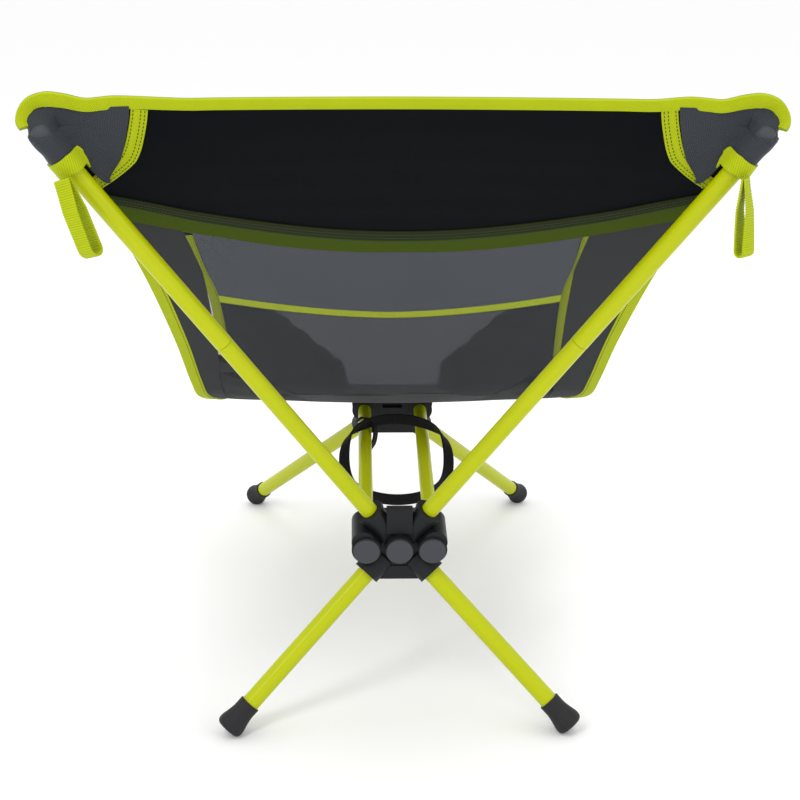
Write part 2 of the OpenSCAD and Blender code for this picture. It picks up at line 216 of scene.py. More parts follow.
def metal(name, colour, rough):
    m = Mat(name, colour, rough, Metallic=1.0)
    m.roughness(m.noise(m.coords("Object"), 400.0, 2.0), rough - 0.06, rough + 0.1)
    return m.m


def open_mesh(name, colour, open_low, open_high):
    """Fine see-through mesh cloth: threads cross and the holes between them let what is behind show."""
    m = Mat(name, colour, 0.7, Sheen_Weight=0.05, Sheen_Roughness=0.45)
    m.b.inputs["Specular IOR Level"].default_value = 0.12
    k = wave_scale(0.0011)
    vec = m.uv()
    a = m.wave(vec, k, "X")
    b = m.wave(vec, k, "Y")
    hole = m.maths("MULTIPLY", a, b)
    rip = m.wave(vec, wave_scale(0.0052), "Y")
    slow = m.noise(m.uv(), 14.0, 4.0)
    f = m.maths("ADD", m.maths("MULTIPLY", rip, 0.5), m.maths("MULTIPLY", slow, 0.5), clamp=True)
    m.tint(f, dim(colour, 0.7), dim(colour, 1.3))
    m.bump(m.maths("SUBTRACT", 1.0, hole), 0.00003)
    clear = m.node("ShaderNodeBsdfTransparent")
    mix = m.node("ShaderNodeMixShader")
    fac = m.span(hole, open_low, open_high)
    m.link(fac, mix.inputs[0])
    m.link(m.b.outputs[0], mix.inputs[1])
    m.link(clear.outputs[0], mix.inputs[2])
    out = m.t.nodes["Material Output"]
    m.link(mix.outputs[0], out.inputs["Surface"])
    return m.m


def banded(name):
    """Dark olive band whose lower edge strip is brighter."""
    m = Mat(name, (0.018, 0.026, 0.008), 0.8)
    m.b.inputs["Specular IOR Level"].default_value = 0.1
    vec = m.uv()
    sep = m.node("ShaderNodeSeparateXYZ")
    m.link(vec, sep.inputs[0])
    edge = m.node("ShaderNodeMapRange", in_From_Min=0.0108, in_From_Max=0.0120)
    m.link(sep.outputs["Y"], edge.inputs["Value"])
    ribs = m.wave(m.uv(turn=0.5), wave_scale(0.0012), "X")
    dull = m.blend(ribs, (0.008, 0.012, 0.004), (0.026, 0.040, 0.009))
    bright = m.blend(ribs, (0.028, 0.045, 0.002), (0.062, 0.098, 0.004))
    m.tint(edge.outputs["Result"], dull, bright)
    m.bump(ribs, 0.00015)
    return m.m


M = {
    "tube": lime_tube(),
    "hub": moulded("charcoal_nylon", (0.0085, 0.0095, 0.0115), 0.46, spec=0.22),
    "plug": moulded("grey_nylon", (0.046, 0.050, 0.058), 0.55),
    "rubber": moulded("foot_rubber", (0.016, 0.016, 0.018), 0.60, 900.0, 0.00008),
    "alloy": metal("bare_alloy", (0.72, 0.73, 0.75), 0.34),
    "cord": woven("cord_cover", (0.55, 0.56, 0.58), 0.0008),
    "black": woven("black_cloth", (0.0024, 0.0034, 0.0048), 0.0011, contrast=0.3, sheen=0.0,
                   rough=0.62, spec=0.05),
    "mesh": open_mesh("grey_mesh", (0.020, 0.022, 0.027), 0.57, 0.65),
    "grey": woven("grey_cloth", (0.10, 0.11, 0.125), 0.0016, 0.00005, 0.10, 0.68, sheen=0.08),
    "seat": woven("seat_cloth", (0.098, 0.105, 0.119), 0.0016, 0.00008, 0.16, 0.68, sheen=0.08),
    # painted shade: a darker copy of the seat cloth, for the seat's middle near the back
    "shade": woven("seat_cloth_painted_shade", (0.040, 0.042, 0.047), 0.0016, 0.00016, 0.3, 0.7, sheen=0.05),
    "pocket": woven("pocket_cloth", (0.032, 0.037, 0.044), 0.0021, 0.00028, 0.5, 0.62, turn=0.5, sheen=0.06),
    # painted shade: a dark copy of the seat cloth, for the seat's sides that turn away from the light and
    # for the strips beside the back's mesh
    "side": woven("side_cloth_painted_shade", (0.028, 0.029, 0.032), 0.0014, contrast=0.3, sheen=0.03),
    "tape": tape("lime_tape", LIME_TAPE),
    # painted light: a brighter copy of the lime tape, so the seam across the seat reads lit through the mesh
    "seam": tape("seam_tape_painted_light", (0.66, 0.80, 0.02)),
    "web": tape("lime_webbing", LIME_TAPE, 0.0016, turn=0.0, depth=0.0001),
    "band": banded("olive_band"),
    "strap": tape("black_webbing", (0.006, 0.006, 0.007), 0.0018, 0.7, 0.0),
    "thread": moulded("lime_thread", (0.26, 0.34, 0.006), 0.7, 3000.0),
    "thread_dark": moulded("dark_thread", (0.045, 0.06, 0.006), 0.7, 3000.0),
    "thread_grey": moulded("grey_thread", (0.05, 0.053, 0.056), 0.7, 3000.0),
}


def dress(node, mat):
    o = CAD[node]
    o.data.materials.clear()
    o.data.materials.append(M[mat])


for n in CAD:
    is_leg = "leg_" in n and not n.startswith("shock")
    is_pole = "pole_lower" in n or "pole_upper" in n or n.startswith("front_pole")
    if is_leg or is_pole or n.startswith("spreader"):
        dress(n, "tube")
    elif "foot" in n:
        dress(n, "rubber")
    elif n.endswith("hub"):
        dress(n, "hub")
    elif "plugs" in n or "tips" in n:
        dress(n, "plug")
    elif "ferrule" in n:
        dress(n, "alloy")
    elif n.startswith("shock"):
        dress(n, "cord")


# ---------------------------------------------------------------- sling surface, mm
KS = np.array([0, .065, .155, .265, .40, .50, .545, .60, .635, .70, .83, .90, .97, 1.0])
KM = np.array([[285, 499.5], [260, 466.5], [218, 421.5], [167, 365.5], [105, 296.5], [58, 246.5],
               [37, 224.5], [7, 204.5], [-19, 203.5], [-63, 216], [-147, 245.5], [-190, 265.5],
               [-234, 284.5], [-253, 293.5]], float)
KE = np.array([[253, 277.5, 496.5], [236, 267, 455.5], [206, 237, 414.5], [190, 185, 361.5],
               [178, 115, 293.5], [172, 65, 243.5], [168, 40, 222.5], [157, 5, 209.5],
               [155, -20, 210.5], [157, -60, 222], [175, -150, 262.5], [193, -195, 284],
               [208, -237, 306.5], [215, -255, 313.5]], float)


def catmull(a, b, c, d, t):
    """Catmull-Rom curve from b to c at t, with a before b and d after c."""
    return 0.5 * (2 * b + (c - a) * t + (2 * a - 5 * b + 4 * c - d) * t ** 2
                  + (3 * b - a - 3 * c + d) * t ** 3)


def spline(k, s):
    """The curve through the knots k at s."""
    n = len(KS)
    i = np.clip(np.searchsorted(KS, s, side="right") - 1, 0, n - 2)
    t = ((s - KS[i]) / (KS[i + 1] - KS[i]))[..., None]
    a, b, c, d = k[np.maximum(i - 1, 0)], k[i], k[i + 1], k[np.minimum(i + 2, n - 1)]
    return catmull(a, b, c, d, t)


def S(s, w):
    """Point of the sling: s from the top edge to the front edge, w from -1 to 1 across it."""
    s, w = np.broadcast_arrays(np.asarray(s, float), np.asarray(w, float))
    m, e, q = spline(KM, s), spline(KE, s), np.abs(w) ** 1.7
    return np.stack([e[..., 0] * w, m[..., 0] + (e[..., 1] - m[..., 0]) * q + 0.5,
                     m[..., 1] + (e[..., 2] - m[..., 1]) * q], -1)


def unit(v):
    return v / np.maximum(np.linalg.norm(v, axis=-1, keepdims=True), 1e-9)


def N(s, w):
    """Unit normal away from the sitter."""
    a = S(np.asarray(s) + .004, w) - S(np.asarray(s) - .004, w)
    b = S(s, np.asarray(w) + .01) - S(s, np.asarray(w) - .01)
    return -unit(np.cross(a, b))


def P(s, w, off=0.0):
    """Point at a distance off from the sling, away from the sitter."""
    return S(s, w) + N(s, w) * np.asarray(off, float)[..., None]


def band_s(w):
    """Upper edge of the olive band."""
    return 0.212 - 0.098 * w * w


def side_w(s):
    """Inner edge of the seat's side cloth, darkened with painted shade."""
    return np.interp(s, [0.40, 0.56, 0.66, 0.72, 0.826], [0.951, 0.50, 0.26, 0.30, 0.66])


def seam_w(s):
    """Half-width of the cloth in the seat's middle, which goes a little under the side cloth."""
    return side_w(s) + 0.012


def open_w(s):
    """Half-width of the open mesh; plain cloth goes on from there to the side tape."""
    return np.interp(s, [0.10, 0.20, 0.27, 0.34, 0.50, 0.56], [0.745, 0.735, 0.735, 0.765, 0.840, 0.85])


EDGE = 0.955                     # w at which the cloth goes into the side tapes
MESH_END = 0.560                 # s at which the open mesh ends
SEAM_AT = 0.826                  # s of the seam across the seat
SIDES = ((1, "left"), (-1, "right"))


# ---------------------------------------------------------------- mesh builders
def make(name, verts, faces, mat, uvs=None, smooth=40.0, body="frame", slot=None, replaces=()):
    """verts in mm; uvs is one (u, v) per vertex in metres."""
    me = bpy.data.meshes.new(name)
    points = (np.asarray(verts) + [0, SHIFT, 0]) * MM
    me.from_pydata(points.tolist(), [], [tuple(int(i) for i in f) for f in faces])
    if uvs is not None:
        layer = me.uv_layers.new(name="UVMap")
        idx = np.empty(len(me.loops), np.int32)
        me.loops.foreach_get("vertex_index", idx)
        layer.data.foreach_set("uv", np.asarray(uvs, np.float32)[idx].ravel())
    me.validate()
    me.polygons.foreach_set("use_smooth", [True] * len(me.polygons))
    me.set_sharp_from_angle(angle=math.radians(smooth))
    o = bpy.data.objects.new(name, me)
    bpy.context.scene.collection.objects.link(o)
    me.materials.append(M[mat])
    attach(o, body)
    if replaces:
        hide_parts(*replaces)
    return o


def lengths(g, axis):
    """Distance of each point of g from the first, measured along the given axis."""
    d = np.linalg.norm(np.diff(g, axis=axis), axis=-1)
    z = np.zeros_like(np.take(d, [0], axis))
    return np.concatenate([z, np.cumsum(d, axis)], axis)


def facing(quads, centre=0.0):
    """Above zero where the quads (n, 4, 3) face outward, below it where they face inward."""
    cross = np.cross(quads[:, 0] - quads[:, 2], quads[:, 1] - quads[:, 3])
    return np.einsum("ij,ij->i", cross, quads.mean(1) - centre).sum()


def slab(name, inner, outer, mat, **kw):
    """Closed sheet between two grids of points (n, m, 3)."""
    n, m = inner.shape[:2]
    k = n * m
    v = np.concatenate([inner.reshape(-1, 3), outer.reshape(-1, 3)])
    i, j = np.meshgrid(np.arange(n - 1), np.arange(m - 1), indexing="ij")
    a = (i * m + j).ravel()
    quads = [np.stack([a, a + 1, a + m + 1, a + m], 1),
             np.stack([a + k, a + k + m, a + k + m + 1, a + k + 1], 1)]
    j = np.arange(m - 1)
    quads.append(np.stack([j, j + k, j + k + 1, j + 1], 1))
    e = (n - 1) * m + j
    quads.append(np.stack([e, e + 1, e + k + 1, e + k], 1))
    i = np.arange(n - 1) * m
    quads.append(np.stack([i, i + m, i + m + k, i + k], 1))
    e = i + m - 1
    quads.append(np.stack([e, e + k, e + m + k, e + m], 1))
    faces = np.concatenate(quads)
    u, w = lengths(inner, 1), lengths(inner, 0)
    u = u - u[:, [m // 2]]
    uv = np.stack([u, w], -1).reshape(-1, 2) * MM
    if facing(v[faces]) < 0:
        faces = faces[:, ::-1]
    mid = (inner + outer) / 2
    lengths(mid, 1)[:, -1].max() * MM
    lengths(mid, 0)[-1].max() * MM
    return make(name, v, faces, mat, uvs=np.concatenate([uv, uv]), **kw)


def cloth(name, s, w, off, thick, mat, **kw):
    """Sheet that lies on the sling from the distance off to off + thick."""
    s, w = np.broadcast_arrays(s, w)
    off = np.broadcast_to(off, s.shape)
    return slab(name, P(s, w, off), P(s, w, off + thick), mat, **kw)


def grid(s0, s1, w0, w1, rows, cols):
    """s and w grids; s0 and s1 are functions of w, w0 and w1 functions of s, or numbers."""
    j = np.linspace(0, 1, cols + 1)[None, :]
    i = np.linspace(0, 1, rows + 1)[:, None]
    if callable(w0) or callable(w1):
        s = np.repeat(s0 + (s1 - s0) * i, cols + 1, 1)
        a = w0(s) if callable(w0) else w0
        b = w1(s) if callable(w1) else w1
        return s, a + (b - a) * j
    w = np.repeat(w0 + (w1 - w0) * j, rows + 1, 0)
    a = s0(w) if callable(s0) else s0
    b = s1(w) if callable(s1) else s1
    return a + (b - a) * i, w


def along(pts, step):
    """Points resampled evenly along a line, with their distances along it."""
    pts = np.asarray(pts, float)
    d = lengths(pts, 0)
    n = max(int(round(d[-1] / step)), 2)
    t = np.linspace(0, d[-1], n + 1)
    return np.stack([np.interp(t, d, pts[:, k]) for k in range(pts.shape[1])], -1), t


def smooth_line(ctrl, step=1.0):
    """Catmull-Rom line through control points, evenly resampled."""
    c = np.asarray(ctrl, float)
    c = np.concatenate([[2 * c[0] - c[1]], c, [2 * c[-1] - c[-2]]])
    out = []
    for a, b, e, d in zip(c[:-3], c[1:-2], c[2:-1], c[3:]):
        t = np.linspace(0, 1, 24, endpoint=False)[:, None]
        out.append(catmull(a, b, e, d, t))
    out.append(c[-2:-1])
    return along(np.concatenate(out), step)


def ribbon(name, pts, side, width, thick, mat, closed=False, rib=0.0, pitch=2.0, curl=0.0, **kw):
    """Band with a rounded section swept along pts (n, 3); side is the way its width goes at each point."""
    pts = np.asarray(pts, float)
    n = len(pts)
    if closed:
        nxt = np.roll(pts, -1, 0)
        prv = np.roll(pts, 1, 0)
    else:
        nxt = np.concatenate([pts[1:], [2 * pts[-1] - pts[-2]]])
        prv = np.concatenate([[2 * pts[0] - pts[1]], pts[:-1]])
    t = unit(nxt - prv)
    side = np.broadcast_to(np.asarray(side, float), pts.shape)
    side = unit(side - t * (side * t).sum(1, keepdims=True))
    up = np.cross(t, side)
    d = lengths(pts, 0)
    width = np.broadcast_to(np.asarray(width, float), n)
    thick = np.broadcast_to(np.asarray(thick, float), n)
    q = [(x, 1.0) for x in np.linspace(-0.9, 0.9, 7)]
    sec = [(-1.0, 0.0), (-0.97, 0.7)] + q + [(0.97, 0.7), (1.0, 0.0), (0.97, -0.7)]
    sec = np.array(sec + [(x, -y) for x, y in q[::-1]] + [(-0.97, -0.7)])
    wave = 1 + rib * np.cos(2 * math.pi * d / pitch)
    hw, ht = width / 2, thick / 2 * wave
    v = pts[:, None] + side[:, None] * (sec[None, :, :1] * hw[:, None, None]) \
        + up[:, None] * ((sec[None, :, 1:] * ht[:, None, None]) + curl * (1 - sec[None, :, :1] ** 2))
    m = len(sec)
    loops = n if closed else n - 1
    i, j = np.meshgrid(np.arange(loops), np.arange(m), indexing="ij")
    a = i * m + j
    b = i * m + (j + 1) % m
    c = ((i + 1) % n) * m + (j + 1) % m
    e = ((i + 1) % n) * m + j
    faces = np.stack([a, b, c, e], -1).reshape(-1, 4).tolist()
    if not closed:
        faces += [list(range(m))[::-1], [(n - 1) * m + k for k in range(m)]]
    peri = lengths(sec * [width.max() / 2, thick.max() / 2], 0)
    uv = np.stack(np.broadcast_arrays(d[:, None], peri[None, :]), -1).reshape(-1, 2) * MM
    vv = v.reshape(-1, 3)
    quads = np.array([f for f in faces if len(f) == 4])
    if facing(vv[quads], vv.mean(0)) < 0:
        faces = [f[::-1] for f in faces]
    return make(name, vv, faces, mat, uvs=uv, **kw)


def stitches(name, lines, normals, mat="thread", pitch=3.6, share=0.66, r=0.32, **kw):
    """Rows of short raised thread runs along lines; each line (n, 3) has one normal per point."""
    V, F = [], []
    ring = np.array([[math.cos(a), math.sin(a)] for a in np.linspace(0, 2 * math.pi, 6, endpoint=False)])
    prof = [(-0.5, 0.25), (-0.34, 0.9), (0, 1.0), (0.34, 0.9), (0.5, 0.25)]
    for line, nor in zip(lines, normals):
        both, t = along(np.concatenate([line, np.broadcast_to(nor, line.shape)], 1), pitch)
        for k in range(len(both) - 1):
            a, b = both[k, :3], both[k + 1, :3]
            n = unit(both[k, 3:] + both[k + 1, 3:])
            c, d = (a + b) / 2 + n * r * 0.35, unit(b - a)
            sd = np.cross(d, n)
            base = len(V)
            for x, y in prof:
                for p in ring:
                    V.append(c + d * x * pitch * share + (sd * p[0] + n * p[1] * 0.8) * r * y)
            for q in range(len(prof) - 1):
                for p in range(6):
                    F.append((base + q * 6 + p, base + q * 6 + (p + 1) % 6,
                              base + (q + 1) * 6 + (p + 1) % 6, base + (q + 1) * 6 + p))
            F.append(tuple(base + p for p in range(5, -1, -1)))
            F.append(tuple(base + 24 + p for p in range(6)))
    return make(name, np.array(V), F, mat, smooth=80.0, **kw)


def surface_line(s, w, off):
    """Points at a distance off from the sling, and its normals there."""
    s, w = np.broadcast_arrays(np.asarray(s, float), np.asarray(w, float))
    return P(s, w, np.full(s.shape, off)), N(s, w)


# ---------------------------------------------------------------- sling
s, w = grid(0.010, band_s, -EDGE, EDGE, 26, 80)
sag = 0.5 * np.sin(s * 160) * (1 - np.abs(w)) ** 0.5
cloth("back_cloth", s, w, -0.3 + sag * 0.5, 0.7, "black", slot="black_cloth", replaces=["back_panel"])
s, w = grid(lambda w: band_s(w) - 0.003, lambda w: band_s(w) + 0.0325 + 0.011 * np.abs(w),
            -EDGE, EDGE, 8, 80)
cloth("band_cloth", s, w, 0.45, 0.8, "band", slot="band_cloth", replaces=["back_band"])
ww = np.linspace(-EDGE, EDGE, 120)
lines = [surface_line(band_s(ww) + k, ww, 1.25) for k in (0.0035, 0.0085, 0.0165)]
stitches("band_stitches", [a for a, _ in lines], [b for _, b in lines], "thread_grey", 2.6, 0.8, 0.24,
         slot="band_cloth")

# mesh of the lower back, and the two closed cloths of the seat's middle; the rear one has the darker copy
# with painted shade
i = np.linspace(0, 1, 61)[:, None]
v = np.linspace(-1, 1, 65)[None, :]
s0 = band_s(v * EDGE) + 0.0240
s = s0 + (MESH_END - s0) * i
drag = 0.55 * np.sin(30 * s + 7 * v * v) * np.cos(9 * v + 14 * s)
cloth("mesh_cloth", s, v * EDGE, -0.3 + drag, 0.6, "mesh", slot="mesh_cloth", replaces=["mesh_panel"])
s, w = grid(0.556, 0.668, lambda s: -seam_w(s), seam_w, 20, 40)
cloth("seat_middle_cloth", s, w, -0.35, 0.7, "shade", slot="mesh_cloth", replaces=["mesh_panel"])
s, w = grid(0.667, SEAM_AT, lambda s: -seam_w(s), seam_w, 24, 40)
cloth("seat_front_cloth", s, w, -0.35, 0.7, "seat", slot="mesh_cloth", replaces=["mesh_panel"])

# dark closed sheet beside the mesh, painted shade standing in for the shade seen through the mesh there, and
# the seat's side cloths, dark with painted shade
for sgn, side in SIDES:
    i = np.linspace(0, 1, 61)[:, None]
    j = np.linspace(0, 1, 13)[None, :]
    s0 = band_s(0.9) + 0.020
    s = s0 + (MESH_END - s0) * i + 0 * j
    w0 = open_w(s) + (np.interp(s, [0.2, 0.3, 0.45], [0.058, 0.045, 0.026]) if sgn > 0 else -0.040)
    w = w0 + (EDGE + 0.01 - w0) * j
    s = np.maximum(s, band_s(w) + 0.022)
    cloth("back_side_shade_sheet_" + side, s, w * sgn, 0.35, 0.5, "side", slot="mesh_cloth")
for sgn, side in SIDES:
    # the side cloth's dark colour is painted shade where the seat's sides turn away from the light
    s, w = grid(0.404, SEAM_AT, lambda s: np.minimum(side_w(s) - 0.004, EDGE - 0.006), EDGE + 0.01,
                60, 14)
    drag = 0.35 * np.sin(150 * s + 16 * w) * np.clip((w - 0.35) * 2, 0, 1) * np.clip((EDGE - w) * 9, 0, 1)
    cloth("seat_side_cloth_" + side, s, w * sgn, -0.35 + drag, 0.7, "side", slot="grey_cloth",
          replaces=["seat_side_" + side])

# front panel and the tape over its seam
s, w = grid(SEAM_AT, 0.985, -EDGE, EDGE, 16, 60)
cloth("front_cloth", s, w, -0.35, 0.7, "grey", slot="grey_cloth", replaces=["front_panel"])
# the seam tape is the brighter lime copy: painted light
s, w = grid(0.8225, 0.8360, -EDGE, EDGE, 3, 80)
cloth("seam_tape_painted_light", s, w, -1.0, 2.0, "seam", slot="lime_webbing", replaces=["seat_seam_tape"])

# side tapes: folded bindings down both edges
for sgn, side in SIDES:
    ss = np.linspace(0.105, 0.972, 420)
    ww = np.full_like(ss, 0.982)
    pts = P(ss, ww * sgn, 0.0)
    wid = np.interp(ss, [0.105, 0.2, 0.6, 0.97], [9.0, 10.5, 9.5, 9.0])
    nrm = N(ss, ww * sgn)
    sd = unit(S(ss, ww * sgn + 0.02) - S(ss, ww * sgn - 0.02))
    ribbon("side_binding_" + side, pts, sd, wid, 2.6, "tape", slot="lime_webbing",
           replaces=["side_tape_" + side])
    rows = [pts + nrm * q + sd * (-sgn * 3.0) for q in (1.25, -1.25)]
    stitches("side_stitches_" + side, rows, [nrm, -nrm], "thread_dark", 3.4, slot="lime_webbing")

# front binding
ww = np.linspace(-1.0, 1.0, 180)
pts = P(np.full_like(ww, 0.992), ww, 0.0)
nrm = N(np.full_like(ww, 0.992), ww)
sd = unit(S(np.full_like(ww, 1.0), ww) - S(np.full_like(ww, 0.98), ww))
ribbon("front_binding_tape", pts, sd, 10.0, 3.0, "tape", slot="lime_webbing", replaces=["front_binding"])
rows = [pts - sd * 3.4 + nrm * 1.4, pts - sd * 3.4 - nrm * 1.4]
stitches("front_stitches", rows, [nrm, -nrm], "thread_dark", 3.4, slot="lime_webbing")

# top binding, with the hoods' corners
corner = [[188, 281, 497.5], [201, 281.2, 496.6], [212, 281.5, 495.8], [226, 282, 498.6],
          [238, 281.5, 499.4], [247, 281, 496.6], [252, 281.5, 490.6], [253, 283, 485.0],
          [250.5, 285, 481.0]]
ww = np.linspace(-0.66, 0.66, 90)
mid = P(np.full_like(ww, 0.006), ww, 0.0)
ctrl = [[-x, y, z] for x, y, z in corner[::-1]] + [list(p) for p in mid[::6]] + corner
line, _ = smooth_line(ctrl, 1.2)
up = np.zeros_like(line)
cx = np.abs(line[:, 0])
# the width runs down the cloth in the middle and inward round the corners
turn = np.clip((cx - 238) / 14, 0, 1)
up[:, 2] = -(1 - turn * 0.75)
up[:, 0] = -np.sign(line[:, 0]) * turn
up[:, 1] = -0.35
wid = np.interp(cx, [0, 150, 188, 215, 235, 253], [8.2, 8.2, 8.8, 9.4, 10.4, 8.6])
ribbon("top_binding_tape", line, up, wid, 3.6, "tape", slot="lime_webbing", replaces=["top_binding"],
       curl=0.3)


# ---------------------------------------------------------------- hoods over the pole tips
def hub_point(x, t, h):
    """Point x sideways, t forward along the spreader tubes and h up from their axis."""
    return np.array([x, RY - t * CA + h * SA, HUB_Z + t * SA + h * CA])


# the left rear and front poles, from the hub to the tip
REAR_ROOT = hub_point(21, 13, 25)
REAR_TIP = np.array([240, RY + 90, 476.8])
FRONT_ROOT = np.array([30, RY - 287, 207.7])
FRONT_TIP = np.array([197, RY - 438.3, 294.9])
CLEAR = 1.7                      # least distance from a hood's cloth to the sling, mm


def turns_up(a, b, c):
    """Whether the way from a over b to c bends to the left or not at all."""
    return (b[0] - a[0]) * (c[1] - a[1]) - (b[1] - a[1]) * (c[0] - a[0]) >= 0


def hull_top(pts):
    """Upper hull of 2-D points from the leftmost to the rightmost."""
    h = []
    for p in sorted(map(tuple, pts)):
        while len(h) > 1 and turns_up(h[-2], h[-1], p):
            h.pop()
        h.append(p)
    return np.array(h)


def off_sling(g, rows):
    """Grid g with each point moved out to CLEAR from the sling; rows holds a first guess of s."""
    s = np.repeat(np.asarray(rows, float)[:, None], g.shape[1], 1)
    w = np.clip(g[..., 0] / np.maximum(S(s, np.ones_like(s))[..., 0], 1), 0.5, 1.06)
    h = 0.002
    # the nearest point of the sling, by damped Gauss-Newton steps
    for _ in range(8):
        base = S(s, w)
        ds = (S(s + h, w) - base) / h
        dw = (S(s, w + h) - base) / h
        r = g - base
        a11, a12, a22 = (ds * ds).sum(-1), (ds * dw).sum(-1), (dw * dw).sum(-1)
        b1, b2 = (r * ds).sum(-1), (r * dw).sum(-1)
        det = np.maximum(a11 * a22 - a12 * a12, 1e-6)
        s = np.clip(s + 0.8 * (a22 * b1 - a12 * b2) / det, 0.0, 1.0)
        w = np.clip(w + 0.8 * (a11 * b2 - a12 * b1) / det, 0.4, 1.08)
    n = N(s, w)
    short = CLEAR - ((g - S(s, w)) * n).sum(-1)
    return g + n * np.clip(short, 0, 30)[..., None]


def hood_grid(sgn, tip, root, s_of, rows, w_in, w_out, crease, radius, lift, m=34):
    """Points of a hood's outer cloth: flat on the sling, creased beside the pole, round it, to the edge."""
    u = unit(tip - root)
    out = []
    for sv in rows:
        a = tip - u * np.interp(sv, s_of[0], s_of[1])
        e1 = unit(S(sv, 0.95) - S(sv, 0.85))
        n = N(sv, 0.93)
        e1 = unit(e1 - n * (e1 @ n))
        start = P(sv, w_in(sv), 1.0)
        end = P(sv, w_out(sv), 1.2)
        r = radius(sv)

        def flat(p):
            """p in the plane across the pole: sideways and outward from the pole."""
            return np.array([(p - a) @ e1, (p - a) @ n])

        floor_y = flat(P(sv, 0.86, 1.6))[1]
        fold = np.array([-crease(sv), max(-np.linalg.norm(a - S(sv, 0.93)) * 0.55 + 1.0, floor_y)])
        first, last = flat(start), flat(end)
        turn = np.linspace(-0.4, math.pi + 0.4, 40)
        circle = [(r * math.cos(x), r * math.sin(x) + lift(sv)) for x in turn]
        top = hull_top([tuple(fold)] + circle + [tuple(last)])
        line = np.concatenate([[first], [first * 0.5 + fold * 0.5 - [0, 0.4]], top])
        line, _ = along(line, 0.5)
        under = np.array([flat(x) for x in P(np.full(60, sv), np.linspace(0.6, 1.06, 60), 1.5)])
        keep = line[:, 0] < last[0] - 1
        for _ in range(6):
            line[1:-1] = line[1:-1] * 0.5 + (line[:-2] + line[2:]) * 0.25
        lowest = np.interp(line[:, 0], under[:, 0], under[:, 1])
        line[keep, 1] = np.maximum(line[:, 1], lowest)[keep]
        d = lengths(line, 0)
        x = np.linspace(0, d[-1], m)
        line = np.stack([np.interp(x, d, line[:, k]) for k in (0, 1)], -1)
        lam = (x / d[-1])[:, None]
        p = a + line[:, :1] * e1 + line[:, 1:] * n
        p = p + (start - p[0]) * (1 - lam) + (end - p[-1]) * lam
        # the first rows rise from the bound edge of the sling
        low = P(np.full(m, sv), np.linspace(w_in(sv), w_out(sv), m), 1.4)
        k = min(1.0, abs(sv - rows[0]) / 0.020)
        k = k * k * (3 - 2 * k)
        out.append(low * (1 - k) + p * k)
    g = off_sling(np.array(out), rows)
    g[..., 0] *= sgn
    return g


def pole_rows(tip, root, backs, s_low, s_high):
    """s of the sling's point nearest to the pole, at each distance in backs behind the tip, mm."""
    s, w = np.meshgrid(np.linspace(s_low, s_high, 80), np.linspace(0.5, 1.06, 80), indexing="ij")
    pts = S(s, w)
    u = unit(tip - root)
    found = []
    for back in backs:
        away = np.linalg.norm(pts - (tip - u * back), axis=-1)
        found.append(round(float(s.ravel()[away.argmin()]), 3))
    return found


# s against the distance behind the pole's tip; the values below zero carry the hood on past the tip
BACKS = [0, 7, 15, 25, 35, 50, 70]
REAR = ([-0.01, 0.010] + pole_rows(REAR_TIP, REAR_ROOT, BACKS, 0.0, 0.25), [-33, -17] + BACKS)
BACKS = [90, 70, 50, 35, 25, 15, 7, 0]
FRONT = (pole_rows(FRONT_TIP, FRONT_ROOT, BACKS, 0.8, 1.0) + [0.99], BACKS + [-12])


def w_tape(s):
    """Line of the curved tape at the hood's inner edge."""
    return 0.722 + 0.19 * max(0.0, s / 0.1) ** 1.7


def cut_rows(g, rows, last):
    """Grid g, with its rows at rows, where each column ends at its own last value and is spread evenly."""
    out = np.empty_like(g)
    f = np.linspace(0, 1, len(rows))
    for c in range(g.shape[1]):
        at = rows[0] + (last[c] - rows[0]) * f
        for k in range(3):
            out[:, c, k] = np.interp(at, rows, g[:, c, k])
    return out


def normals_of(g):
    return unit(np.cross(np.gradient(g, axis=0), np.gradient(g, axis=1)))


def hood(name, g, sgn, mat, thick, **kw):
    """Hood cloth on the grid g; gives the grid's normals away from the sling."""
    n = normals_of(g)
    at = 0.05 if g[0, 0, 1] > 0 else 0.94
    if (n.reshape(-1, 3).mean(0) @ N(at, 0.85 * sgn)) < 0:
        n = -n
    slab(name, g, g + n * thick, mat, **kw)
    return n


